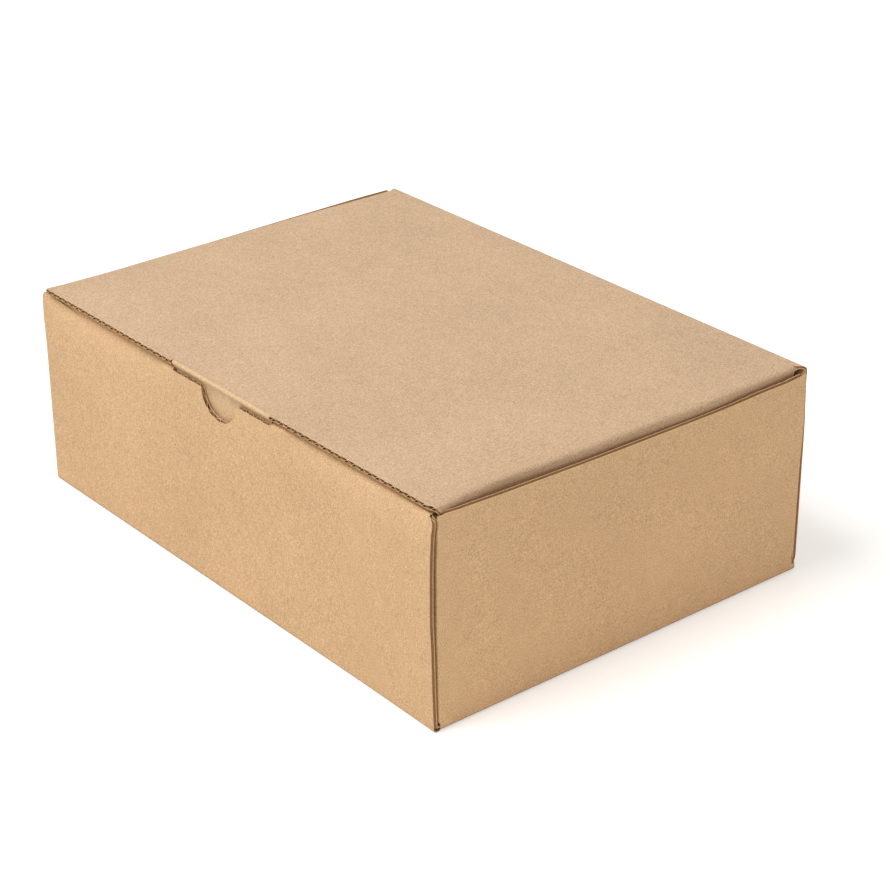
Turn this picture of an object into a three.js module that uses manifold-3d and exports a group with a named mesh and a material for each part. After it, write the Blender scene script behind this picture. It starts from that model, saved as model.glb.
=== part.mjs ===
// A mailer box: one die-cut sheet of single-wall corrugated board, folded into a tray with a hinged lid.
// Millimetres, +Z up. +X runs along the front to the right, and +Y to the back, where the lid hinges.
// The origin is the middle of the bottom, on the surface that the box stands on.

import * as THREE from 'three';
import { mergeVertices } from 'three/addons/utils/BufferGeometryUtils.js';
import Module from 'manifold-3d';

const wasm = await Module();
wasm.setup();

// Outside size of the closed box
const length = 365;
const depth = 262;
const height = 127;

// Board: two flat liners with a fluted medium between them
const board = 2.8;
const liner = 0.35;
const medium = 0.35;
const flutePitch = 6.2;
const voidDepth = 9;
const grooveDepth = 1.2;

// Folds, and the air between layers that lie on each other
const layerGap = 0.3;
const creaseRadius = 1.8;
const softBend = 3.4;

// Front wall, rolled over at the top: outer panel, narrow top strip, inner panel with locks at its foot
const rollInset = 5.5;
const frontCorner = 4.5;
const frontTaper = 1.6;
const lockWidth = 60;
const lockSpacing = 190;
const lockClearance = 0.4;
const lockLift = 0.4;

// Tab of the lid, its slot in the front fold and the thumb notch below it
const tabWidth = 88.5;
const tabLength = 26;
const tabCorner = 9;
const slotClearance = 0.8;
const nickWidth = 0.5;
const notchRadius = 16.6;
const notchEase = 1.6;

// Side walls, and the ears that fold inwards at both of their ends
const wallClearance = 1.2;
const earLength = 82;
const earShoulder = 14;
const earTaper = 4;
const earCorner = 8;

// Lid, and the flaps along its two sides
const hingeInset = 1;
const flapDepth = 70;
const flapRearClearance = 0.6;
const flapFrontClearance = 1.2;
const flapCorner = 12;

// Facets of an arc, and of the wave of the medium
const arcSteps = 5;
const waveSteps = 4;

// Heights and places that follow from the sizes above
const halfLength = length / 2;
const front = -depth / 2;
const back = depth / 2;
const lidUnder = height - board;
const foldTop = lidUnder - layerGap;
const slotEdge = foldTop - creaseRadius;
const wallTop = lidUnder - wallClearance;
const wallInside = halfLength - board;

// The lid turns about the middle of its own rounded rear edge.
const hingeY = back - board / 2;
const hingeZ = height - board / 2;

// The tab leans in by as much as its tip swings forward when the lid opens.
const tabFace = front + board + layerGap;
const tabTip = height - tabLength;
const tabReach = hingeY - tabFace;
const tabLean = Math.hypot(tabReach, hingeZ - tabTip) - tabReach;
const tabHalf = tabWidth / 2;
const slotHalf = tabHalf + slotClearance;

// The gap inside the rolled front holds the tab, with an ear on either side of it.
const rollGap = board + tabLean + 2 * layerGap;
const rollInside = front + board + rollGap;
const rollBack = rollInside + board;
const rollHalf = halfLength - rollInset;
const panelFoot = board + layerGap;

const earFront = front + board + layerGap;
const earBack = back - board - layerGap;
const earFoot = board + layerGap;
const earTop = foldTop - board - layerGap;

// The flaps hang inside the side walls, and their front edges clear the rolled front as the lid swings.
const flapFace = wallInside - layerGap;
const flapFoot = height - flapDepth;
const flapRear = earBack - board - flapRearClearance;
const flapFrontTop = rollBack + flapFrontClearance;
const flapSwing = hingeY - flapFrontTop;
const flapFrontFoot = hingeY - Math.sqrt(flapSwing ** 2 - (hingeZ - flapFoot) ** 2);

// How far a cutter runs past the face that it cuts
const over = 1;

// How far two stretches of the sheet that are drawn apart run into each other
const lap = 6;

// Outlines

// A polygon with rounded corners. Each point is [u, v] or [u, v, radius].
function roundedOutline(points) {
  const rounded = points.flatMap(([u, v, radius = 0], i) => {
    const corner = new THREE.Vector2(u, v);
    if (radius === 0) {
      return [corner];
    }
    const before = points.at(i - 1);
    const after = points[(i + 1) % points.length];
    const toBefore = new THREE.Vector2(before[0] - u, before[1] - v).normalize();
    const toAfter = new THREE.Vector2(after[0] - u, after[1] - v).normalize();
    const halfAngle = Math.acos(toBefore.dot(toAfter)) / 2;
    const middle = toBefore.clone().add(toAfter).setLength(radius / Math.sin(halfAngle)).add(corner);
    const start = toBefore.multiplyScalar(radius / Math.tan(halfAngle)).add(corner);
    const end = toAfter.multiplyScalar(radius / Math.tan(halfAngle)).add(corner);
    const startArm = start.clone().sub(middle);
    const endArm = end.clone().sub(middle);
    const turn = Math.atan2(startArm.cross(endArm), startArm.dot(endArm));
    return Array.from({ length: arcSteps + 1 }, (_, k) =>
      start.clone().rotateAround(middle, (turn * k) / arcSteps));
  });
  return new THREE.Shape(rounded);
}

// The section of a folded board. Its outer face runs through the corners, turning clockwise, and each
// corner is [u, v] or [u, v, radius]. The inner face lies one board thickness to the right of that run.
function boardSection(corners) {
  const right = corners.slice(1).map(([u, v], i) => {
    const along = new THREE.Vector2(u - corners[i][0], v - corners[i][1]).normalize();
    return new THREE.Vector2(along.y, -along.x);
  });
  const inner = corners.map(([u, v, radius = 0], i) => {
    const before = right[Math.max(i - 1, 0)];
    const after = right[Math.min(i, right.length - 1)];
    const offset = before.clone().add(after).multiplyScalar(board / (1 + before.dot(after)));
    return [u + offset.x, v + offset.y, Math.max(radius - board, 0)];
  });
  return roundedOutline([...corners, ...inner.reverse()]);
}

// The open ends of the flutes along a cut that crosses them, from one end of the cut to the other. The
// medium is a wave between the liners, so the voids lie against one liner and the other in turn. The
// board's two faces are at lowFace and highFace. faceFirst says that they are on the first axis drawn in.
function fluteVoids(from, to, lowFace, highFace, faceFirst = false) {
  const halfPitch = flutePitch / 2;
  const halfBase = halfPitch - 1.5 * medium;
  const rise = highFace - lowFace - 2 * liner - medium;
  const count = Math.floor((to - from - 2 * halfPitch) / halfPitch) + 1;
  const first = (from + to - (count - 1) * halfPitch) / 2;
  return Array.from({ length: count }, (_, i) => {
    const onLow = i % 2 === 0;
    const base = onLow ? lowFace + liner : highFace - liner;
    const wave = Array.from({ length: waveSteps + 1 }, (_, k) => {
      const part = (2 * k) / waveSteps - 1;
      const lift = (rise * (1 + Math.cos(Math.PI * part))) / 2;
      const along = first + i * halfPitch + part * halfBase;
      const across = onLow ? base + lift : base - lift;
      return faceFirst ? new THREE.Vector2(across, along) : new THREE.Vector2(along, across);
    });
    return new THREE.Shape(wave);
  });
}

// Solids

// Turns a closed geometry into a solid that can be joined and cut.
function toSolid(geometry) {
  geometry.deleteAttribute('normal');
  geometry.deleteAttribute('uv');
  const merged = mergeVertices(geometry, 1e-5);
  const vertProperties = new Float32Array(merged.attributes.position.array);
  const triVerts = new Uint32Array(merged.index.array);
  return new wasm.Manifold(new wasm.Mesh({ numProp: 3, vertProperties, triVerts }));
}

// The two directions in which an outline is drawn, for each axis that it is drawn out along
const drawnIn = {
  x: [new THREE.Vector3(0, 1, 0), new THREE.Vector3(0, 0, 1)],
  y: [new THREE.Vector3(0, 0, 1), new THREE.Vector3(1, 0, 0)],
  z: [new THREE.Vector3(1, 0, 0), new THREE.Vector3(0, 1, 0)],
};

// Draws one outline, or many that lie apart, out along an axis from one place to another.
function drawOut(axis, outlines, from, to) {
  const [u, v] = drawnIn[axis];
  const along = u.clone().cross(v);
  const geometry = new THREE.ExtrudeGeometry(outlines, { depth: to - from, bevelEnabled: false });
  geometry.applyMatrix4(new THREE.Matrix4().makeBasis(u, v, along));
  geometry.translate(along.x * from, along.y * from, along.z * from);
  return toSolid(geometry);
}

function block([x0, x1], [y0, y1], [z0, z1]) {
  return drawOut('z', roundedOutline([[x0, y0], [x1, y0], [x1, y1], [x0, y1]]), z0, z1);
}

// A span from the middle of the box outwards, on its left (side -1) or right (side 1)
function outwards(side, near, far) {
  return side > 0 ? [near, far] : [-far, -near];
}

// Tray

// Back wall, bottom and outer front panel: one strip, creased along the bottom's front and back.
function makeStrip() {
  let strip = drawOut('x', boardSection([
    [back, foldTop],
    [back, 0, creaseRadius],
    [front, 0, creaseRadius],
    [front, slotEdge],
  ]), -halfLength, halfLength);
  for (const side of [-1, 1]) {
    // The side walls stand here.
    const bay = outwards(side, wallInside, halfLength + over);
    strip = strip.subtract(block(bay, [earFront, earBack], [-over, foldTop]));
    // The front panel's end tapers, and its top corner is rounded.
    const trim = roundedOutline([
      [0, side * halfLength],
      [slotEdge, side * (halfLength - frontTaper), frontCorner],
      [slotEdge, side * (rollHalf - frontCorner)],
      [slotEdge + over, side * (rollHalf - frontCorner)],
      [slotEdge + over, side * (halfLength + over)],
      [0, side * (halfLength + over)],
    ]);
    strip = strip.subtract(drawOut('y', trim, front - over, earFront));
    // Both raw ends run with the flutes.
    const ends = outwards(side, halfLength - frontTaper - grooveDepth, halfLength + over);
    const core = [liner, board - liner];
    const upright = [board, slotEdge - frontCorner];
    strip = strip.subtract(block(ends, core.map((y) => front + y), upright));
    strip = strip.subtract(block(ends, core.map((y) => back - board + y), upright));
  }
  return strip;
}

// The top of the front wall, rolled over to the inner panel, whose foot locks into the bottom
function makeRoll() {
  let roll = drawOut('x', boardSection([
    [front, slotEdge - lap],
    [front, foldTop, creaseRadius],
    [rollBack, foldTop, creaseRadius],
    [rollBack, panelFoot],
  ]), -rollHalf, rollHalf);
  for (const side of [-1, 1]) {
    const ends = outwards(side, rollHalf - grooveDepth, rollHalf + over);
    roll = roll.subtract(block(ends, [rollInside + liner, rollBack - liner], [panelFoot + over, earTop]));
  }
  return roll;
}

// The locks along the inner panel's foot, which drop into the bottom
function makeLocks() {
  const [left, right] = [-1, 1].map((side) => block(
    outwards(side, lockSpacing / 2 - lockWidth / 2, lockSpacing / 2 + lockWidth / 2),
    [rollInside, rollBack],
    [lockLift, panelFoot + over]));
  return left.add(right);
}

// The slot in the bottom for one of those locks
function makeLockSlot(side) {
  const halfSlot = lockWidth / 2 + lockClearance;
  return block(
    outwards(side, lockSpacing / 2 - halfSlot, lockSpacing / 2 + halfSlot),
    [rollInside - lockClearance, rollBack + lockClearance],
    [-over, board + layerGap / 2]);
}

// Both side walls with the bottom between them, creased along the bottom's sides
function makeSideWalls() {
  let walls = drawOut('y', boardSection([
    [wallTop, -halfLength],
    [0, -halfLength, creaseRadius],
    [0, halfLength, creaseRadius],
    [wallTop, halfLength],
  ]), earFront + creaseRadius, earBack - creaseRadius);
  for (const side of [-1, 1]) {
    const core = outwards(side, wallInside + liner, halfLength - liner);
    walls = walls.subtract(block(core, [front, back], [wallTop - grooveDepth, wallTop + over]));
  }
  return walls;
}

// The right side wall between its two ears, which are folded in behind the front and inside the back
function makeEars() {
  const tip = halfLength - earLength;
  const folded = drawOut('z', boardSection([
    [tip, earBack],
    [halfLength, earBack, creaseRadius],
    [halfLength, earFront, creaseRadius],
    [tip, earFront],
  ]), earFoot, earTop);
  const outline = drawOut('y', roundedOutline([
    [earFoot - over, halfLength + over],
    [earFoot, halfLength - earShoulder],
    [earFoot + earTaper, tip, earCorner],
    [earTop - earTaper, tip, earCorner],
    [earTop, halfLength - earShoulder],
    [earTop + over, halfLength + over],
  ]), front, back);
  const lowest = earFoot + earTaper + earCorner;
  const highest = earTop - earTaper - earCorner;
  const ends = [
    ...fluteVoids(lowest, highest, earFront, earFront + board, true),
    ...fluteVoids(lowest, highest, earBack - board, earBack, true),
  ];
  return folded.intersect(outline).subtract(drawOut('x', ends, tip - over, tip + voidDepth));
}

// The slot in the front fold that the tab drops through, and the thumb notch in the outer panel below it
function makeTabSlot() {
  const notchSteps = 3 * arcSteps;
  const notch = Array.from({ length: notchSteps + 1 }, (_, k) => {
    const angle = (Math.PI * k) / notchSteps;
    return [slotEdge - notchRadius * Math.sin(angle), -notchRadius * Math.cos(angle)];
  });
  const slot = [
    [foldTop + over, -slotHalf],
    [slotEdge, -slotHalf],
    [slotEdge, -notchRadius - notchEase],
    [slotEdge - notchEase, -notchRadius - notchEase / 4],
    ...notch.slice(1, -1),
    [slotEdge - notchEase, notchRadius + notchEase / 4],
    [slotEdge, notchRadius + notchEase],
    [slotEdge, slotHalf],
    [foldTop + over, slotHalf],
  ];
  const through = block([-slotHalf, slotHalf], [front + board, rollInside], [earTop, foldTop + over]);
  return drawOut('y', roundedOutline(slot), front - over, rollInside).add(through);
}

// The flutes that the slot and the notch lay open in the outer front panel
function makeSlotVoids() {
  const voids = fluteVoids(-slotHalf, slotHalf, front, front + board);
  return drawOut('z', voids, slotEdge - notchRadius - voidDepth, slotEdge + over);
}

function makeTray() {
  return makeStrip()
    .add(makeRoll())
    .subtract(makeTabSlot())
    .subtract(makeSlotVoids())
    .subtract(makeLockSlot(-1))
    .subtract(makeLockSlot(1))
    .add(makeSideWalls().subtract(makeLockSlot(-1)).subtract(makeLockSlot(1)))
    .add(makeLocks())
    .add(makeEars())
    .add(makeEars().rotate([0, 0, 180]));
}

// Lid

// The top panel with a flap folded down along each side, cut to the flaps' outline seen from the side
function makeLidPanel() {
  const folded = drawOut('y', boardSection([
    [flapFoot, flapFace],
    [height, flapFace, softBend],
    [height, -flapFace, softBend],
    [flapFoot, -flapFace],
  ]), front, flapRear);
  const outline = drawOut('x', roundedOutline([
    [front - over, height + over],
    [front - over, lidUnder],
    [flapFrontTop, lidUnder],
    [flapFrontFoot, flapFoot, flapCorner],
    [flapRear, flapFoot, flapCorner],
    [flapRear, height + over],
  ]), -halfLength, halfLength);
  return folded.intersect(outline);
}

// The rear of the lid, as wide as the back wall, with the rounded edge that it turns about
function makeHingeEdge() {
  const edge = new THREE.Shape();
  edge.moveTo(flapRear, lidUnder);
  edge.lineTo(hingeY, lidUnder);
  edge.absarc(hingeY, hingeZ, board / 2, -Math.PI / 2, Math.PI / 2, false);
  edge.lineTo(flapRear, height);
  const halfEdge = halfLength - hingeInset;
  return drawOut('x', edge, -halfEdge, halfEdge);
}

// The tab, creased a little behind the lid's front edge so that it drops in behind the outer panel
function makeTab() {
  const folded = drawOut('x', boardSection([
    [tabFace + tabLean, tabTip],
    [tabFace, height, softBend],
    [tabFace + softBend + lap, height],
  ]), -tabHalf, tabHalf);
  const outline = drawOut('y', roundedOutline([
    [height + over, -tabHalf],
    [tabTip, -tabHalf, tabCorner],
    [tabTip, tabHalf, tabCorner],
    [height + over, tabHalf],
  ]), front, front + depth / 4);
  return folded.intersect(outline);
}

// The flute ends along the lid's front edge and on the front and rear edges of one flap
function makeLidVoids(side) {
  const edge = outwards(side, tabHalf + nickWidth, flapFace - softBend);
  const frontVoids = fluteVoids(...edge, lidUnder, height, true);
  const face = outwards(side, flapFace - board, flapFace);
  const flapVoids = fluteVoids(flapFoot + flapCorner, lidUnder, ...face);
  return drawOut('y', frontVoids, front - over, front + voidDepth)
    .add(drawOut('y', flapVoids, flapFrontTop - over, flapFrontFoot + voidDepth))
    .add(drawOut('y', flapVoids, flapRear - voidDepth, flapRear + over));
}

// The groove in the foot of one flap, which is cut along the flutes
function makeFootGroove(side) {
  return block(
    outwards(side, flapFace - board + liner, flapFace - liner),
    [flapFrontFoot + flapCorner, flapRear - flapCorner],
    [flapFoot - over, flapFoot + grooveDepth]);
}

function makeLid() {
  const tabBay = block(
    [-tabHalf - nickWidth, tabHalf + nickWidth],
    [front - over, tabFace + softBend],
    [lidUnder - over, height + over]);
  let lid = makeLidPanel();
  for (const side of [-1, 1]) {
    lid = lid.subtract(makeLidVoids(side)).subtract(makeFootGroove(side));
  }
  return lid.subtract(tabBay).add(makeTab()).add(makeHingeEdge());
}

// Kraft board, a little paler on the lid where the light falls

function toMesh(name, solid, colour) {
  const { vertProperties, triVerts } = solid.getMesh();
  const geometry = new THREE.BufferGeometry();
  geometry.setAttribute('position', new THREE.BufferAttribute(vertProperties, 3));
  geometry.setIndex(new THREE.BufferAttribute(triVerts, 1));
  geometry.computeVertexNormals();
  const kraft = new THREE.MeshStandardMaterial({ color: colour, roughness: 0.9, metalness: 0 });
  const mesh = new THREE.Mesh(geometry, kraft);
  mesh.name = name;
  return mesh;
}

const box = new THREE.Group();
box.add(toMesh('tray', makeTray(), '#d2ab7c'));
box.add(toMesh('lid', makeLid(), '#d5b590'));

export default box;
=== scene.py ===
"""A closed mailer box of corrugated board, dressed as the real one: three glued papers, folded and tucked.

Inside the sections sizes are in millimetres. Each finished mesh is brought to metres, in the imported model's frame.
"""

import bisect
import math

import bmesh
import bpy
from mathutils import Matrix, Vector, noise


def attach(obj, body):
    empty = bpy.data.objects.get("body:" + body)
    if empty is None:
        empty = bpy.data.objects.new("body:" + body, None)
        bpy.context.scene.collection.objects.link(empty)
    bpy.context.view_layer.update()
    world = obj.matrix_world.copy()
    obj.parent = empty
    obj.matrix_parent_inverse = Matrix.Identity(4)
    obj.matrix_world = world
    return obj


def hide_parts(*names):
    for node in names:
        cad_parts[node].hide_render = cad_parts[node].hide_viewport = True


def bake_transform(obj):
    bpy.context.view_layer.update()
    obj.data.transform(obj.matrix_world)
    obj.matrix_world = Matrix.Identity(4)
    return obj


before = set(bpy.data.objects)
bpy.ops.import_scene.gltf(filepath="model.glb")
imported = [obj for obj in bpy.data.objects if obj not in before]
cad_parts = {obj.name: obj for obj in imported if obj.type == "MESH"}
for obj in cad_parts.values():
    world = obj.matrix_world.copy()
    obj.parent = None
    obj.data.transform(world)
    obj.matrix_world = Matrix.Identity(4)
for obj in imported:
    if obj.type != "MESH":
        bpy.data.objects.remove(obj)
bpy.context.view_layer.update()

# ---------------------------------------------------------------------------------------------------------------
# The view: a long lens a little above the box, turned so that its front and its right side both show.
# Its place, its lens and its slight roll are the ones that lay the solids' edges over those in the photo.
# ---------------------------------------------------------------------------------------------------------------

camera_target = Vector((0.030278, -0.000527, 0.0635))
camera_distance = 1.3561
camera_turn = math.radians(50.706)
camera_rise = math.radians(26.518)
camera_roll = math.radians(-0.190)
camera_lens = 96.846

camera_back = Vector((
    math.sin(camera_turn) * math.cos(camera_rise),
    -math.cos(camera_turn) * math.cos(camera_rise),
    math.sin(camera_rise),
))
level_right = Vector((math.cos(camera_turn), math.sin(camera_turn), 0))
level_up = camera_back.cross(level_right)
camera_right = level_right * math.cos(camera_roll) + level_up * math.sin(camera_roll)
camera_up = level_up * math.cos(camera_roll) - level_right * math.sin(camera_roll)

camera = bpy.data.objects.new("camera", bpy.data.cameras.new("camera"))
camera.data.lens = camera_lens
camera.data.sensor_width = 36
camera.data.clip_start = 0.05
camera.data.clip_end = 60
turned = Matrix((camera_right, camera_up, camera_back)).transposed()
camera.matrix_world = Matrix.Translation(camera_target + camera_back * camera_distance) @ turned.to_4x4()
bpy.context.scene.collection.objects.link(camera)
bpy.context.scene.camera = camera
bpy.context.scene.view_settings.view_transform = "Standard"

# ---------------------------------------------------------------------------------------------------------------
# The studio: a plain pale floor under a pale sky, with one broad lamp above and in front of the box and a weak
# fill at its right. The floor and the sky are white to look at, and light the box less than they show.
# ---------------------------------------------------------------------------------------------------------------

pure_white = (1.0, 1.0, 1.0)
warm_white = (1.0, 0.95, 0.88)
sky_strength = 0.42
floor_reach = 6.0
floor_gap = 0.0002
floor_grey = (0.86, 0.86, 0.86)
floor_glow = 0.45
lamp_aim = Vector((0, 0, 0.06))
lamps = {
    "lamp": {"size": 1.8, "place": Vector((-0.6, -1.65, 2.85)), "power": 80, "colour": pure_white},
    "fill": {"size": 1.2, "place": Vector((2.4, 0.1, 0.3)), "power": 14, "colour": warm_white},
}


def new_material(name):
    """A material without any nodes yet, and its node tree."""
    material = bpy.data.materials.new(name)
    material.use_nodes = True
    tree = material.node_tree
    tree.nodes.clear()
    return material, tree


def add_node(tree, kind, settings=None, inputs=None):
    """One node, with its settings and the values of its sockets. A value that is a socket is linked."""
    node = tree.nodes.new(kind)
    for key, value in (settings or {}).items():
        setattr(node, key, value)
    for key, value in (inputs or {}).items():
        if isinstance(value, bpy.types.NodeSocket):
            tree.links.new(value, node.inputs[key])
        else:
            node.inputs[key].default_value = value
    return node


def seen_by_eye(tree):
    """1 where a surface is looked at, straight or by way of a mirror or glass, and 0 where it only gives light."""
    ray = add_node(tree, "ShaderNodeLightPath")
    direct = add_node(tree, "ShaderNodeMath", {"operation": "MAXIMUM"}, {
        0: ray.outputs["Is Camera Ray"], 1: ray.outputs["Is Glossy Ray"]})
    seen = add_node(tree, "ShaderNodeMath", {"operation": "MAXIMUM"}, {
        0: direct.outputs[0], 1: ray.outputs["Is Transmission Ray"]})
    return seen.outputs[0]


floor_mesh = bpy.data.meshes.new("floor")
floor_bm = bmesh.new()
bmesh.ops.create_grid(floor_bm, x_segments=1, y_segments=1, size=floor_reach)
bmesh.ops.translate(floor_bm, verts=floor_bm.verts, vec=(0, 0, -floor_gap))
floor_bm.to_mesh(floor_mesh)
floor_bm.free()
floor = bpy.data.objects.new("floor", floor_mesh)
bpy.context.scene.collection.objects.link(floor)

floor_material, floor_tree = new_material("floor_white")
floor_paint = add_node(floor_tree, "ShaderNodeBsdfDiffuse", inputs={"Color": (*floor_grey, 1)})
floor_light = add_node(floor_tree, "ShaderNodeEmission", inputs={
    "Color": (*pure_white, 1), "Strength": floor_glow})
floor_dark = add_node(floor_tree, "ShaderNodeEmission", inputs={"Color": (0, 0, 0, 1), "Strength": 0.0})
floor_shown = add_node(floor_tree, "ShaderNodeMixShader", inputs={
    0: seen_by_eye(floor_tree), 1: floor_dark.outputs[0], 2: floor_light.outputs[0]})
floor_sum = add_node(floor_tree, "ShaderNodeAddShader", inputs={
    0: floor_paint.outputs[0], 1: floor_shown.outputs[0]})

# From below the floor is clear, so that the box's bottom can be looked at
floor_side = add_node(floor_tree, "ShaderNodeNewGeometry")
floor_clear = add_node(floor_tree, "ShaderNodeBsdfTransparent")
floor_one_sided = add_node(floor_tree, "ShaderNodeMixShader", inputs={
    0: floor_side.outputs["Backfacing"], 1: floor_sum.outputs[0], 2: floor_clear.outputs[0]})
add_node(floor_tree, "ShaderNodeOutputMaterial", inputs={"Surface": floor_one_sided.outputs[0]})
floor_mesh.materials.append(floor_material)

world = bpy.data.worlds.new("studio")
bpy.context.scene.world = world
world.use_nodes = True
world_tree = world.node_tree
world_tree.nodes.clear()
world_lit = add_node(world_tree, "ShaderNodeBackground", inputs={
    "Color": (*warm_white, 1), "Strength": sky_strength})
world_white = add_node(world_tree, "ShaderNodeBackground", inputs={"Color": (*pure_white, 1), "Strength": 1.0})
world_mix = add_node(world_tree, "ShaderNodeMixShader", inputs={
    0: seen_by_eye(world_tree), 1: world_lit.outputs[0], 2: world_white.outputs[0]})
add_node(world_tree, "ShaderNodeOutputWorld", inputs={"Surface": world_mix.outputs[0]})

for lamp_name, made_as in lamps.items():
    lamp = bpy.data.objects.new(lamp_name, bpy.data.lights.new(lamp_name, "AREA"))
    lamp.data.size = made_as["size"]
    lamp.data.energy = made_as["power"]
    lamp.data.color = made_as["colour"]
    lamp.location = made_as["place"]
    lamp.rotation_mode = "QUATERNION"
    lamp.rotation_quaternion = (made_as["place"] - lamp_aim).to_track_quat("Z", "Y")
    bpy.context.scene.collection.objects.link(lamp)

# ---------------------------------------------------------------------------------------------------------------
# The lid: the top of the box, with a flap folded down inside each side wall.
# Single-wall board: a fluted paper glued between two kraft liners. The flutes run from the front to the back.
# It is cut from the same sheet as the tray, and each fold is a pressed crease.
# ---------------------------------------------------------------------------------------------------------------

box_length = 365
box_depth = 262
box_height = 127
board = 2.8
liner = 0.35
medium = 0.3
flute_pitch = 6.2
steps_per_flute = 8
liner_step = 1.55
row_step = 8
layer_gap = 0.3
arc_steps = 6
sharp_angle = 40

# Less than any step of the grids, to tell the rows and the papers apart
hair = 0.01

# How far the lid's raw front edge wanders, and how quickly
lid_ragged = 0.22
ragged_rate = 0.8

half_length = box_length / 2
front = -box_depth / 2
back = box_depth / 2
lid_under = box_height - board
fold_top = lid_under - layer_gap

flap_face = half_length - board - layer_gap
flap_foot = 57
flap_rear = 126.2
flap_rear_foot = 124.5
flap_front_top = -119.6
flap_front_foot = -111.4
flap_corner = 12
lid_bend = 2.8

tab_half = 45.5
tab_nick = 0.5
tab_face = front + board + layer_gap


def mixed(table, x):
    """The value at x in a table of (x, value) pairs, eased from one pair to the next."""
    if x <= table[0][0]:
        return table[0][1]
    for (x0, v0), (x1, v1) in zip(table, table[1:]):
        if x <= x1:
            t = (x - x0) / (x1 - x0)
            t = t * t * (3 - 2 * t)
            return v0 + (v1 - v0) * t
    return table[-1][1]


def fold_path(corners):
    """Follows a folded board seen end on, turning right at its corners, each (u, v) or (u, v, radius).

    Returns the distances of its stations along the outer face, and a function that gives the point
    at a distance along it and a depth below its outer face.
    """
    points = [Vector(c[:2]) for c in corners]
    runs = [(b - a).normalized() for a, b in zip(points, points[1:])]
    inward = [Vector((run.y, -run.x)) for run in runs]
    outer = [points[0]]
    inner = [points[0] + inward[0] * board]
    for i in range(1, len(points) - 1):
        radius = corners[i][2] if len(corners[i]) > 2 else 0
        before, after = inward[i - 1], inward[i]
        turn = before.angle(after)
        inner_radius = max(radius - board, 0)
        inner_corner = points[i] + (before + after) * (board / (1 + before.dot(after)))
        centre = points[i] - runs[i - 1] * (radius * math.tan(turn / 2)) + before * radius
        inner_centre = inner_corner - runs[i - 1] * (inner_radius * math.tan(turn / 2)) + before * inner_radius
        for k in range(arc_steps + 1):
            facing = before.copy()
            facing.rotate(Matrix.Rotation(-turn * k / arc_steps, 2))
            outer.append(centre - facing * radius)
            inner.append(inner_centre - facing * inner_radius)
    outer.append(points[-1])
    inner.append(points[-1] + inward[-1] * board)
    distance = [0.0]
    for a, b in zip(outer, outer[1:]):
        distance.append(distance[-1] + max((b - a).length, 1e-4))

    def at(along, depth):
        i = min(max(bisect.bisect_right(distance, along) - 1, 0), len(outer) - 2)
        t = (along - distance[i]) / (distance[i + 1] - distance[i])
        face = outer[i].lerp(outer[i + 1], t)
        under = inner[i].lerp(inner[i + 1], t)
        return face.lerp(under, depth / board)

    return distance, at


def places(low, high, step, exact=()):
    """Evenly spaced places from low to high, with the exact ones among them and none too close to those."""
    keep = sorted({low, high, *[e for e in exact if low < e < high]})
    found = []
    for a, b in zip(keep, keep[1:]):
        count = max(1, round((b - a) / step))
        found += [a + (b - a) * k / count for k in range(count)]
    return found + [high]


def flute_depth(across):
    """How deep under the outer face the fluted paper lies. It touches the outer liner at 0."""
    rise = board - 2 * liner - medium
    return liner + rise * (0.5 - 0.5 * math.cos(2 * math.pi * across / flute_pitch))


def flute_depth_from(crest):
    """The same for flutes that touch the inner liner at a chosen place."""
    return lambda across: flute_depth(across - crest + flute_pitch / 2)


def paper(name, across, along, place, depth, thickness, missing=None, uv_from=(0, 0)):
    """One sheet of paper: a flat grid, cut out, given its thickness and then folded into place.

    place gives the point for a place across the flutes, a place along them and a depth in the board.
    The faces of the cut rim take the second material. The "board" UV map holds the place on the flat sheet.
    """
    bm = bmesh.new()
    across_of = bm.verts.layers.float.new("across")
    along_of = bm.verts.layers.float.new("along")
    bmesh.ops.create_grid(bm, x_segments=len(across) - 1, y_segments=len(along) - 1, size=1)
    for v in bm.verts:
        v[across_of] = across[round((v.co.x + 1) / 2 * (len(across) - 1))]
        v[along_of] = along[round((v.co.y + 1) / 2 * (len(along) - 1))]
    if missing:
        cut = [
            f for f in bm.faces
            if missing(sum(v[across_of] for v in f.verts) / 4, sum(v[along_of] for v in f.verts) / 4)
        ]
        bmesh.ops.delete(bm, geom=cut, context="FACES")
    second_face = bmesh.ops.extrude_face_region(bm, geom=bm.faces[:], use_keep_orig=True)
    deep = {g for g in second_face["geom"] if isinstance(g, bmesh.types.BMVert)}
    for v in bm.verts:
        a = v[across_of]
        below = depth(a) + (thickness if v in deep else 0)
        v.co = place(a, v[along_of], below)
    bmesh.ops.recalc_face_normals(bm, faces=bm.faces[:])
    uv = bm.loops.layers.uv.new("board")
    for f in bm.faces:
        f.material_index = 1 if 0 < len(deep.intersection(f.verts)) < 4 else 0
        for loop in f.loops:
            loop[uv].uv = (
                (loop.vert[across_of] + uv_from[0]) * 0.001,
                (loop.vert[along_of] + uv_from[1]) * 0.001,
            )
    bmesh.ops.scale(bm, vec=(0.001, 0.001, 0.001), verts=bm.verts[:])
    mesh = bpy.data.meshes.new(name)
    bm.to_mesh(mesh)
    bm.free()
    for key in ("across", "along"):
        mesh.attributes.remove(mesh.attributes[key])
    mesh.shade_smooth()
    mesh.set_sharp_from_angle(angle=math.radians(sharp_angle))
    sheet = bpy.data.objects.new(name, mesh)
    bpy.context.scene.collection.objects.link(sheet)
    return sheet


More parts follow.
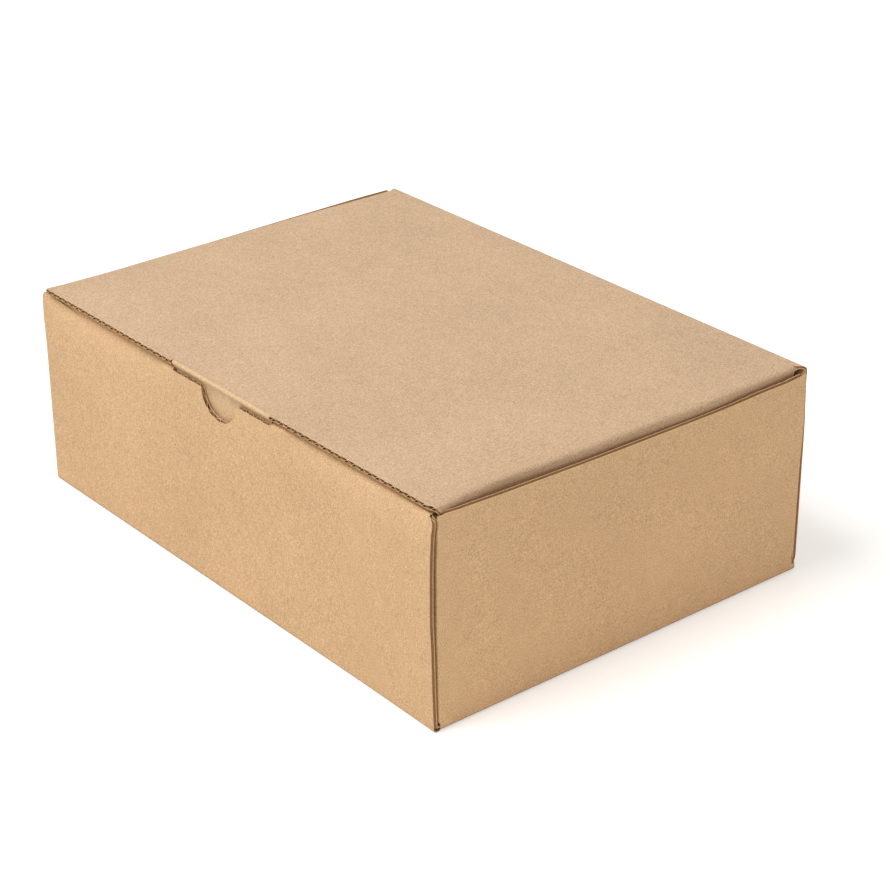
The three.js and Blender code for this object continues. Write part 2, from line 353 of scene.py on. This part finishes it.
def board_pieces(name, across_range, across_exact, along, place, materials, missing=None, waves=flute_depth,
                 uv_from=(0, 0)):
    """The three papers of one panel: outer liner, fluted paper and inner liner."""
    coarse = places(*across_range, liner_step, across_exact)
    fine = places(*across_range, flute_pitch / steps_per_flute, across_exact)
    made = [
        paper(name + "_outer_liner", coarse, along, place, lambda a: 0, liner, missing, uv_from),
        paper(name + "_flutes", fine, along, place, waves, medium, missing, uv_from),
        paper(name + "_inner_liner", coarse, along, place, lambda a: board - liner, liner, missing, uv_from),
    ]
    for sheet, material in zip(made, materials):
        sheet.data.materials.append(material)
        sheet.data.materials.append(cut_kraft)
    return made


def kraft_group():
    """Kraft paper: cloudy colour, long fibres, scattered flecks, the faint ribs of the flutes under it, and painted
    shade just above the floor.
    """
    group = bpy.data.node_groups.new("kraft_paper", "ShaderNodeTree")
    for name, kind in (("Paper", "NodeSocketColor"), ("Fleck", "NodeSocketColor"), ("Ribs", "NodeSocketFloat")):
        group.interface.new_socket(name, in_out="INPUT", socket_type=kind)
    for name, kind in (("Colour", "NodeSocketColor"), ("Roughness", "NodeSocketFloat"),
                       ("Height", "NodeSocketFloat")):
        group.interface.new_socket(name, in_out="OUTPUT", socket_type=kind)
    given = add_node(group, "NodeGroupInput")
    place = add_node(group, "ShaderNodeTexCoord")
    board_uv = add_node(group, "ShaderNodeUVMap", {"uv_map": "board"})

    def noise_of(vector, scale, detail, rough=0.55):
        return add_node(group, "ShaderNodeTexNoise", inputs={
            "Vector": vector, "Scale": scale, "Detail": detail, "Roughness": rough}).outputs["Fac"]

    def stretched(turn, size):
        return add_node(group, "ShaderNodeMapping", inputs={
            "Vector": board_uv.outputs["UV"], "Rotation": (0, 0, turn), "Scale": size}).outputs["Vector"]

    def sum_of(a, b, operation="ADD"):
        return add_node(group, "ShaderNodeMath", {"operation": operation}, {0: a, 1: b}).outputs[0]

    def centred(value, amount):
        return sum_of(sum_of(value, 0.5, "SUBTRACT"), amount, "MULTIPLY")

    wide_cloud = noise_of(place.outputs["Object"], 14, 3)
    small_cloud = noise_of(place.outputs["Object"], 130, 4)
    grain = noise_of(place.outputs["Object"], 1500, 2, 0.5)
    fibre_a = noise_of(stretched(0.35, (1500, 190, 1)), 1, 3, 0.6)
    fibre_b = noise_of(stretched(-0.9, (1300, 170, 1)), 1, 3, 0.6)
    clouds = sum_of(centred(wide_cloud, 0.22), centred(small_cloud, 0.16))
    fibres = sum_of(centred(fibre_a, 0.26), centred(fibre_b, 0.22))
    fibres = sum_of(fibres, centred(grain, 1.20))
    shade = sum_of(sum_of(clouds, fibres), 1.0)

    # Painted shade: the paper is darkened just above the floor, along the folds that the box stands on, as a contact
    # shadow
    height_above = add_node(group, "ShaderNodeSeparateXYZ", inputs={"Vector": place.outputs["Object"]})
    painted_foot_shade = add_node(group, "ShaderNodeMapRange", {"interpolation_type": "SMOOTHSTEP"}, {
        "Value": height_above.outputs["Z"], "From Min": 0.0003, "From Max": 0.0022, "To Min": 0.6, "To Max": 1.0})
    shade = sum_of(shade, painted_foot_shade.outputs["Result"], "MULTIPLY")
    toned = add_node(group, "ShaderNodeVectorMath", {"operation": "SCALE"}, {
        0: given.outputs["Paper"], "Scale": shade})

    # One cell in five holds a small dark fleck
    cell = add_node(group, "ShaderNodeTexVoronoi", {"feature": "F1"}, {
        "Vector": place.outputs["Object"], "Scale": 210})
    spot = add_node(group, "ShaderNodeMath", {"operation": "LESS_THAN"}, {
        0: cell.outputs["Distance"], 1: 0.075})
    chosen = add_node(group, "ShaderNodeSeparateColor", inputs={"Color": cell.outputs["Color"]})
    rare = add_node(group, "ShaderNodeMath", {"operation": "GREATER_THAN"}, {
        0: chosen.outputs["Red"], 1: 0.80})
    flecked = sum_of(sum_of(spot.outputs[0], rare.outputs[0], "MULTIPLY"), 0.35, "MULTIPLY")
    colour = add_node(group, "ShaderNodeMix", {"data_type": "RGBA"}, {
        "Factor": flecked, 6: toned.outputs[0], 7: given.outputs["Fleck"]})

    # The flutes show through the liner as faint ribs
    parts = add_node(group, "ShaderNodeSeparateXYZ", inputs={"Vector": board_uv.outputs["UV"]})
    wave = add_node(group, "ShaderNodeMath", {"operation": "COSINE"}, {
        0: sum_of(parts.outputs["X"], 2 * math.pi / (flute_pitch * 0.001), "MULTIPLY")})
    ribs = sum_of(wave.outputs[0], given.outputs["Ribs"], "MULTIPLY")
    height = sum_of(sum_of(fibres, 0.5, "MULTIPLY"), ribs)
    roughness = sum_of(sum_of(fibres, 0.25, "MULTIPLY"), 0.86)
    done = add_node(group, "NodeGroupOutput")
    group.links.new(colour.outputs[2], done.inputs["Colour"])
    group.links.new(roughness, done.inputs["Roughness"])
    group.links.new(height, done.inputs["Height"])
    return group


kraft_paper = kraft_group()


def linear(red, green, blue):
    """A screen colour of 0 to 255 as the linear colour that a shader takes."""
    return tuple(((c / 255 + 0.055) / 1.055) ** 2.4 for c in (red, green, blue)) + (1.0,)


def kraft_material(name, colour, fleck, ribs=0.35):
    """Matt kraft paper of one colour, with flecks of another."""
    material, tree = new_material(name)
    sheet = add_node(tree, "ShaderNodeGroup", {"node_tree": kraft_paper}, {
        "Paper": colour, "Fleck": fleck, "Ribs": ribs})
    bump = add_node(tree, "ShaderNodeBump", inputs={
        "Strength": 0.35, "Distance": 0.00018, "Height": sheet.outputs["Height"]})
    skin = add_node(tree, "ShaderNodeBsdfPrincipled", inputs={
        "Base Color": sheet.outputs["Colour"], "Roughness": sheet.outputs["Roughness"],
        "Specular IOR Level": 0.15, "Normal": bump.outputs["Normal"]})
    add_node(tree, "ShaderNodeOutputMaterial", inputs={"Surface": skin.outputs["BSDF"]})
    return material


# Painted light: the lid's kraft, also used for the rear fold, is the tray's sheet tinted cooler, standing in for the
# cooler light that falls on the top
cool_lit_lid_kraft = kraft_material("kraft_lid", linear(209, 179, 148), linear(120, 84, 56))
inside_kraft = kraft_material("kraft_inside", linear(200, 160, 116), linear(110, 78, 50))
flute_kraft = kraft_material("kraft_flutes", linear(172, 132, 90), linear(90, 62, 40), ribs=0.0)
cut_kraft = kraft_material("kraft_cut_edge", linear(222, 190, 150), linear(120, 86, 58), ribs=0.0)
front_kraft = kraft_material("kraft_front", linear(215, 179, 138), linear(120, 84, 56))

lid_distance, lid_at = fold_path([
    (-flap_face, flap_foot),
    (-flap_face, box_height, lid_bend),
    (flap_face, box_height, lid_bend),
    (flap_face, flap_foot),
])
lid_run = lid_distance[-1]
lid_middle = lid_run / 2

# How far each flap hangs in from the wall, and how softly its crease is pressed, from the front to the back
flap_inset = {
    1: [(-131, 0.0), (-120, 0.9), (-106, 2.2), (-82, 3.8), (-50, 2.6),
        (-17, 1.6), (59, 0.3), (95, 0.8), (123, 1.2)],
    -1: [(-131, 0.6), (0, 0.2), (123, 0.6)],
}
crease_press = [(-126, 0.4), (-82, 1.0), (-17, 0.4), (59, 0.0), (123, 0.5)]

# Where the top starts to turn down, and how it gives way to the flap's inset there
side_turn = flap_face - lid_bend
inset_ease = [(side_turn - 14, 0), (side_turn - 2, 1)]

# The front edge of the lid, by the distance from the middle of the sheet to the right and to the left
lid_front_edge = {
    1: [(tab_half + 0.6, front), (tab_half + 1.2, front + 1.0), (tab_half + 16, front + 1.4),
        (side_turn - 1.8, front + 1.8), (side_turn + 0.9, front + 2.8), (side_turn + 4.2, front + 3.0),
        (side_turn + 7.0, front + 3.7), (side_turn + 8.6, flap_front_top),
        (lid_middle - flap_corner, flap_front_foot)],
    -1: [(side_turn + 2.4, front), (side_turn + 3.4, front + 2.5), (side_turn + 6.0, front + 5.0),
         (side_turn + 8.6, flap_front_top), (lid_middle - flap_corner, flap_front_foot)],
}

# Its rear edge: the flaps end short of the ears of the side walls
lid_rear_edge = [(side_turn + 3.6, flap_rear), (side_turn + 8, flap_rear_foot)]

# The bay in the front edge that the tab hangs in
bay_half = tab_half + tab_nick
bay_end = front + 1.9

# At the front the flap's fold springs open: how far it stays flat past its turn, then how far in and down it goes,
# how much of that each side does, and where it ends
spring_reach = 9
spring_flat = 4.4
spring_in = 0.4
spring_down = 0.75
spring_share = {1: 1, -1: 0.5}
spring_along = [(front + 3, 1), (front + 11, 0)]

# The crease is pressed in over this reach, a little more inwards than down
press_reach = 12
press_in = 0.8
press_down = 0.6


def rounded_end(corner, from_foot):
    """How far a rounded corner draws an edge back, at a distance from the foot."""
    if from_foot >= corner:
        return 0
    rise = corner - from_foot
    return corner - math.sqrt(max(corner ** 2 - rise ** 2, 0))


def lid_reach(across):
    """Where the sheet starts at the front and ends at the back, at a place across it."""
    x = abs(across - lid_middle)
    drawn_in = rounded_end(flap_corner, lid_middle - x)
    start = mixed(lid_front_edge[1 if across > lid_middle else -1], x) + drawn_in
    return start, mixed(lid_rear_edge, x) - drawn_in


def press_crease(point, y):
    """Softens the lid's creases a little, unevenly, as pressed board does."""
    x, z = point
    side = 1 if x > 0 else -1
    from_corner = math.hypot(abs(x) - flap_face, z - box_height)
    press = mixed(crease_press, y) * max(0, 1 - from_corner / press_reach) ** 2
    return x - side * press * press_in, z - press * press_down


def lid_place(across, along, depth):
    """The folded lid, with its raw front edge a little ragged and its flaps hanging in from the walls."""
    start, end = lid_reach(across)
    t = (along - front) / (flap_rear - front)
    y = start + (end - start) * t
    if t < 0.001:
        y += lid_ragged * noise.noise(Vector((across * ragged_rate, depth * 2.0, 3.1)))
    x, z = press_crease(lid_at(across, depth), y)
    from_middle = abs(across - lid_middle)
    side = 1 if across > lid_middle else -1
    past_turn = from_middle - side_turn
    sprung = mixed(spring_along, y) * spring_share[side]
    if 0 < past_turn < spring_reach and sprung > 0:
        hanging = max(0, past_turn - spring_flat)
        open_x = side * (side_turn + past_turn - spring_in * hanging)
        open_z = box_height - depth - spring_down * hanging
        x += (open_x - x) * sprung
        z += (open_z - z) * sprung
    x -= side * mixed(flap_inset[side], y) * mixed(inset_ease, from_middle)
    return Vector((x, y, z))


def lid_missing(across, along):
    """The bay in the lid's front edge, where the tab is creased down."""
    return abs(across - lid_middle) < bay_half and along < bay_end


# Extra rows near the raw edges, so that what is done to an edge stays at the edge
lid_rows = places(front, flap_rear, row_step, (front + 1.5, front + 4, bay_end, flap_rear - 3))
lid_exact = [*lid_distance, lid_middle - bay_half, lid_middle + bay_half]
lid_pieces = board_pieces("lid", (0, lid_run), lid_exact, lid_rows, lid_place,
                          (cool_lit_lid_kraft, flute_kraft, inside_kraft), lid_missing)

# Painted shade: along the raw edge the inner liner's rim is painted as dark as the flutes, for the shade under the
# lid's edge
lid_pieces[2].data.materials[1] = flute_kraft
for piece in lid_pieces:
    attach(piece, "lid")
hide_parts("lid")

# ---------------------------------------------------------------------------------------------------------------
# The tab: a tongue on the lid's front edge, creased down and tucked into the slot of the front wall.
# It is part of the lid's sheet, so its flutes run up and down. Two nicks part it from the lid's edge.
# ---------------------------------------------------------------------------------------------------------------

tab_tip = 101
tab_lean = 1.17
tab_corner = 9
tab_bend = 1.9

# Painted light: the tab is the lid's sheet painted lighter, making up for the shade that falls on it in the notch
tab_kraft_lightened = kraft_material("kraft_tab_lightened", linear(220, 187, 148), linear(120, 84, 56))
tab_distance, tab_at = fold_path([
    (tab_face + tab_lean, tab_tip),
    (tab_face, box_height, tab_bend),
    (tab_face + tab_bend, box_height),
])
tab_run = tab_distance[-1]

# The crease lies forward of the slot, at the bay's end, and the tab slopes back to the slot between these heights
tab_forward = tab_face + tab_bend - bay_end
tab_slope = [(120.6, 0), (126.4, 1)]


def tab_place(across, along, depth):
    """The tab, creased down from the bay in the lid's edge, with the corners of its tip rounded."""
    start = rounded_end(tab_corner, tab_half - abs(across))
    y, z = tab_at(start + (tab_run - start) * along / tab_run, depth)
    y -= tab_forward * mixed(tab_slope, z)
    return Vector((across, y, z))


tab_rows = places(0, tab_run, row_step, (*tab_distance, *(tab_distance[1] - k for k in (1, 2, 3, 4))))
tab_pieces = board_pieces("tab", (-tab_half, tab_half), (), tab_rows, tab_place,
                          (tab_kraft_lightened, flute_kraft, inside_kraft), uv_from=(lid_middle, bay_end - tab_run))
for piece in tab_pieces:
    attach(piece, "lid")

# ---------------------------------------------------------------------------------------------------------------
# The rear fold: the crease that the lid turns on, where the back wall runs on into the lid.
# The board is only pressed thin here, in the crease.
# ---------------------------------------------------------------------------------------------------------------

fold_foot = 118
rear_bend = 2.4
rear_step = 1.6

rear_distance, rear_at = fold_path([
    (flap_rear, box_height),
    (back, box_height, rear_bend),
    (back, fold_foot),
])

# How far the fold's raw ends are cut back, by the distance from the lid, and how much further the left one is torn
rear_cut_back = [(0, 4.2), (2.4, 2.0), (4.5, 0.4), (7, 0.2), (14, 0.3)]
left_tear = [(0, 1.0), (2.5, 3.2), (5, 3.0), (12, 0)]
rear_end = [(165, 0), (half_length, 1)]

# How much of its thickness the board keeps in the crease
rear_crush = [(0, 1), (1.5, 0.55), (7, 0.55), (12, 1)]


def rear_place(across, along, depth):
    """The fold, pressed thin in the crease and cut back at its raw ends."""
    y, z = rear_at(along, depth * mixed(rear_crush, along))
    side = 1 if across > 0 else -1
    torn_back = 0 if side > 0 else mixed(left_tear, along)
    cut_back = mixed(rear_end, abs(across)) * (mixed(rear_cut_back, along) + torn_back)
    return Vector((across - side * cut_back, y, z))


rear_rows = places(0, rear_distance[-1], rear_step, rear_distance)
rear_pieces = board_pieces("rear_fold", (-half_length, half_length), (), rear_rows, rear_place,
                           (cool_lit_lid_kraft, flute_kraft, inside_kraft), uv_from=(lid_middle, flap_rear))

# The fold's papers keep their place, with their transforms baked into their meshes
for piece in rear_pieces:
    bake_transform(piece)

# ---------------------------------------------------------------------------------------------------------------
# The front wall: an outer panel, rolled over at the top to an inner panel that locks into the bottom.
# It is the same board, with its flutes running up and down. A slot is cut along the roll for the tab, with a
# half-round thumb notch below it.
# ---------------------------------------------------------------------------------------------------------------

crease = 1.8
front_foot = 3.3
roll_half = 177
roll_back = -120.8
panel_foot = 3.1
slot_half = 46.2
slot_edge = fold_top - crease
slot_drop = 1.3
slot_ragged = 0.25
roll_bend = 4.2
top_play = 1.2
roll_top = fold_top - top_play

# The thumb notch is a half circle, a little flattened, with a rounded lip on each side
notch_middle = -1.3
notch_radius = 16.6
notch_flat = 0.93
notch_ease = 1.6
notch_lip = 0.4 * notch_ease

# The outer panel's top corners are rounded, and its right-hand end is cut a little lower
left_corner = 4.4
right_corner = 4.5
right_drop = 1.0

# How far the outer panel's free right-hand end springs out, by height
front_spring = [
    (0, 0.9), (8, 1.3), (27, 1.9), (43, 2.3), (67, 3.2),
    (91, 3.1), (112, 2.5), (119, 1.9), (124, 1.4),
]

# From free_from outwards the panel is held less and less: both ends draw in a little, and the left one splays out
# again towards its top
free_from = 90
front_taper = 0.3
front_splay = 1.2
splay_up = [(85, 0), (122, 1)]

# The rolled edge leans in under the lid, but for the part beside the tab and the ends
roll_lean = 3.5
lean_beside_tab = [(50, 0.1), (66, 1)]
lean_at_ends = [(166, 1), (180, 0.2)]
lean_up = [(110, 0), (121.2, 1)]
lean_fade = 4

# The locks at the inner panel's foot
lock_near = 65
lock_far = 125
lock_foot = 0.4

front_distance, front_at = fold_path([
    (front + front_foot, 0),
    (front, 0, crease),
    (front, roll_top, roll_bend),
    (roll_back, roll_top, crease),
    (roll_back, panel_foot),
])
panel_start = front_distance[1 + arc_steps]
roll_start = front_distance[2 + arc_steps]
panel_end = roll_start + roll_bend * math.asin((slot_edge - roll_top + roll_bend) / roll_bend)
slot_end = front_distance[3 + 2 * arc_steps]


def front_top(x):
    """How far below the slot's edge the outer panel ends: the thumb notch, and its rounded outer corners."""
    from_notch = abs(x - notch_middle)
    if from_notch < notch_radius:
        return max(slot_drop, notch_flat * math.sqrt(notch_radius ** 2 - from_notch ** 2)) + notch_lip
    if from_notch < notch_radius + notch_ease:
        return slot_drop + notch_lip * (1 - (from_notch - notch_radius) / notch_ease) ** 2
    if x < -roll_half:
        return slot_edge - fold_top + rounded_end(left_corner, half_length + x)
    if x > roll_half:
        return slot_edge - fold_top + right_drop + rounded_end(right_corner, half_length - x)
    return slot_drop * min(1, (slot_half - abs(x)) / 2)


def front_place(across, along, depth):
    """The folded front wall, with the slot and the notch drawn into the outer panel's top edge.

    The outer panel springs out at its right-hand end and splays at its left-hand one, and the roll leans in.
    """
    x = across
    on_panel = panel_start < along < panel_end + hair
    if on_panel and (abs(x) < slot_half - hair or abs(x) > roll_half):
        t = (along - panel_start) / (panel_end - panel_start)
        z = crease + t * (slot_edge - crease - front_top(x))
        y = front + depth
        if t > 0.999:
            z += slot_ragged * noise.noise(Vector((across * ragged_rate, depth * 2.0, 7.7)))
    else:
        y, z = front_at(along, depth)
    if along < panel_end + hair:
        off_foot = mixed([(0, 0), (panel_start, 1)], along)
        free_end = max(0, (abs(x) - free_from) / (half_length - free_from))
        if x > 0:
            y -= off_foot * mixed(front_spring, z) * free_end ** 2
        x -= math.copysign(front_taper * free_end ** 3, x)
        if x < 0:
            x -= front_splay * mixed(splay_up, z) * free_end ** 3
    leans = mixed(lean_beside_tab, abs(x)) * mixed(lean_up, z) * mixed(lean_at_ends, abs(x))
    y += roll_lean * leans * min(1, max(0, (roll_back - board - y) / lean_fade))
    if along > front_distance[-1] - hair and lock_near < abs(x) < lock_far:
        z = lock_foot
    return Vector((x, y, z))


def front_missing(across, along):
    """The slot along the roll, and the ends of the roll that are cut short."""
    in_slot = abs(across) < slot_half and panel_end < along < slot_end
    past_roll = abs(across) > roll_half and along > panel_end
    return in_slot or past_roll


front_rows = places(0, front_distance[-1], row_step, (*front_distance, panel_end - 1.2, panel_end))
front_exact = [notch_middle + side * (notch_radius + ease) for side in (-1, 1) for ease in (0, notch_ease)]
for side in (-1, 1):
    front_exact += [side * x for x in (slot_half - 2, slot_half - 1, slot_half, roll_half)]
    front_exact += [side * (half_length - inward) for inward in (0.3, 0.9, 2.0, 3.4)]
    front_exact += [side * x for x in (lock_near, lock_near + 0.1, lock_far - 0.1, lock_far)]
front_pieces = board_pieces("front_wall", (-half_length, half_length), front_exact, front_rows, front_place,
                            (front_kraft, flute_kraft, inside_kraft), front_missing)
for piece in front_pieces:
    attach(piece, "tray")

# At the front wall's two raw ends, this far from the middle, the inner liner's rims are painted as dark as the
# flutes: painted shade in the gap at the corners
end_rims = 0.17
front_pieces[2].data.materials.append(flute_kraft)
for face in front_pieces[2].data.polygons:
    if face.material_index == 1 and abs(face.center.x) > end_rims:
        face.material_index = 2
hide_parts("tray")

# ---------------------------------------------------------------------------------------------------------------
# The back wall: one plain panel of the same board, with its flutes running up and down.
# It is creased up from the bottom's rear edge, covers the rear ears of the side walls and runs on into the lid.
# ---------------------------------------------------------------------------------------------------------------

back_distance, back_at = fold_path([
    (back, fold_foot),
    (back, 0, crease),
    (back - front_foot, 0),
])

# How far the raw ends of the back wall stand out, by height, and how far from the middle that begins
back_end_bow = [(0, -1.4), (4, 0.1), (8, 0.9), (38, 0.9), (89, 0.8), (112, 0.0), (118, -0.3)]
bow_from = 130


def back_place(across, along, depth):
    """The folded back wall, its raw ends standing out a little between the foot and the top."""
    y, z = back_at(along, depth)
    free_end = max(0, (abs(across) - bow_from) / (half_length - bow_from))
    x = across + math.copysign(free_end ** 2, across) * mixed(back_end_bow, z)
    return Vector((x, y, z))


back_rows = places(0, back_distance[-1], row_step, back_distance)
back_pieces = board_pieces("back_wall", (-half_length, half_length), (), back_rows, back_place,
                           (front_kraft, flute_kraft, inside_kraft))
for piece in back_pieces:
    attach(piece, "tray")

# ---------------------------------------------------------------------------------------------------------------
# The bottom: one panel between the four walls, with two slots near the front for the locks of the inner panel.
# It is the same board, with its flutes running from the front to the back, and turns up into the side walls.
# ---------------------------------------------------------------------------------------------------------------

wall_foot = 4.6
ear_bend = 0.9
lock_play = 0.4
lock_slot_back = roll_back + lock_play
lock_slot_front = roll_back - board - lock_play
ear_front = front + board + layer_gap
ear_back = -ear_front
bottom_step = 20

# Where the turned-up strips end at the front, and where they and the corners end at the back
strip_end = ear_back - ear_bend + 0.6
corner_end = back + 0.7

bottom_distance, bottom_at = fold_path([
    (half_length, wall_foot),
    (half_length, 0, crease),
    (-half_length, 0, crease),
    (-half_length, wall_foot),
])
bottom_middle = bottom_distance[-1] / 2


def bottom_place(across, along, depth):
    """The bottom, turned up at both sides as far as the side walls' feet."""
    x, z = bottom_at(across, depth)
    limit = strip_end if z > board else back - front_foot
    if along > 0 and abs(x) > half_length - board:
        limit = corner_end
    return Vector((x, along * limit / (back - front_foot), z))


def bottom_missing(across, along):
    """The two slots for the locks."""
    in_lock = lock_near - lock_play < abs(across - bottom_middle) < lock_far + lock_play
    return in_lock and lock_slot_front < along < lock_slot_back


bottom_rows = places(front + front_foot, back - front_foot, bottom_step, (lock_slot_front, lock_slot_back))
bottom_exact = [*bottom_distance, *(bottom_middle + side * x for side in (-1, 1)
                                    for x in (lock_near - lock_play, lock_far + lock_play))]
bottom_pieces = board_pieces("bottom", (0, bottom_distance[-1]), bottom_exact, bottom_rows, bottom_place,
                             (front_kraft, flute_kraft, inside_kraft), bottom_missing)
for piece in bottom_pieces:
    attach(piece, "tray")

# ---------------------------------------------------------------------------------------------------------------
# The side walls: each stands on the bottom's side crease, with an ear folded inwards at either end.
# They are the same board, with its flutes lying level. Both bow out a little, and the right one sags between
# its ears.
# ---------------------------------------------------------------------------------------------------------------

wall_top = lid_under - top_play
wall_step = 3
ear_length = 82
ear_foot = board + layer_gap
ear_top = fold_top - board - layer_gap
ear_taper = 4
ear_corner = 8
ear_shoulder = 14

# The height of each wall's top edge from the front to the back, and how far the wall bows out along it and up it
wall_edge = {
    1: [(-129, 122.6), (-125, 123.5), (-112, 122.8), (-89, 122.3),
        (-22, 121.5), (56, 121.4), (112, 122.7), (128, 123.9)],
    -1: [(-128, 123.2), (0, 123.8), (60, 124.2), (128, 124.5)],
}
wall_bow_along = {
    1: [(-128, 0.2), (-60, 1.3), (20, 2.0), (90, 2.4), (128, 3.0)],
    -1: [(-128, 0.0), (-30, 0.6), (30, 1.6), (100, 2.4), (128, 1.6)],
}
wall_bow_up = [(6, 0.3), (20, 0.7), (60, 0.8), (95, 1.05), (115, 0.9), (123, 0.8)]

# How far the near end of the right wall stands forward under the sprung front panel, by height, and how that
# dies away to the back and along the ear
wall_forward = [(4, 0.5), (25, 1.1), (60, 1.7), (95, 1.7), (112, 1.2), (121, 0.5)]
forward_to_back = [(-126, 1), (-108, 0)]
forward_on_ear = [(140, 0), (178, 1)]

# The raw top: the flutes end below the liners, and the inner liner stands up torn, most of all in the rear half
flutes_below = 1.1
torn_least = 0.1
torn_most = 0.8
torn_along = [(40, 0.1), (70, 1), (120, 1), (127, 0)]
torn_rate = 0.35


def side_wall(name, side):
    """The three papers of one side wall with its two ears. side is 1 for the right wall and -1 for the left."""
    wall_distance, wall_at = fold_path([
        (side * (half_length - ear_length), side * ear_back),
        (side * half_length, side * ear_back, ear_bend),
        (side * half_length, side * ear_front, ear_bend),
        (side * (half_length - ear_length), side * ear_front),
    ])
    run = wall_distance[-1]
    arc_in = wall_distance[1]
    arc_out = wall_distance[-2]

    def ear_end(z):
        inside = min(z - ear_foot - ear_taper, ear_top - ear_taper - z)
        if inside < 0:
            return ear_corner + (ear_length - ear_shoulder) * -inside / ear_taper
        return rounded_end(ear_corner, inside)

    def place(across, along, depth):
        s = along
        if s < arc_in:
            start = min(ear_end(across), arc_in - ear_shoulder)
            s = start + (arc_in - start) * s / arc_in
        elif s > arc_out:
            end = run - min(ear_end(across), arc_in - ear_shoulder)
            s = arc_out + (end - arc_out) * (s - arc_out) / (run - arc_out)
        x, y = wall_at(s, depth)
        z = across
        if arc_in <= s <= arc_out:
            share = (z - wall_foot) / (wall_top - wall_foot)
            x += side * mixed(wall_bow_along[side], y) * mixed(wall_bow_up, z)
            z = wall_foot + share * (mixed(wall_edge[side], y) - wall_foot)
        if side > 0:
            y -= mixed(wall_forward, z) * mixed(forward_to_back, y) * mixed(forward_on_ear, x)
        if across > wall_top - hair and arc_in < along < arc_out:
            if depth > board - liner - hair:
                torn = torn_most * mixed(torn_along, y)
                z += torn_least + torn * abs(noise.noise(Vector((y * torn_rate, 2.0, side * 5.0))))
            elif depth > liner + hair:
                z -= flutes_below
        return Vector((x, y, z))

    def missing(across, along):
        on_ear = along < arc_in or along > arc_out
        return on_ear and not ear_foot < across < ear_top

    rows = places(0, run, wall_step, wall_distance)
    made = board_pieces(name, (wall_foot, wall_top), (ear_top,), rows, place,
                        (front_kraft, flute_kraft, inside_kraft), missing, flute_depth_from(wall_top))

    # The flutes are really recessed below the liners at the top, and their rims are painted as dark as the flutes as
    # painted shade in that recess; all the rims of the left wall, whose top edge lies in shade, are painted dark as
    # painted shade too
    made[1].data.materials[1] = flute_kraft
    if side < 0:
        made[0].data.materials[1] = made[2].data.materials[1] = flute_kraft
    return made


for piece in side_wall("right_wall", 1) + side_wall("left_wall", -1):
    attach(piece, "tray")
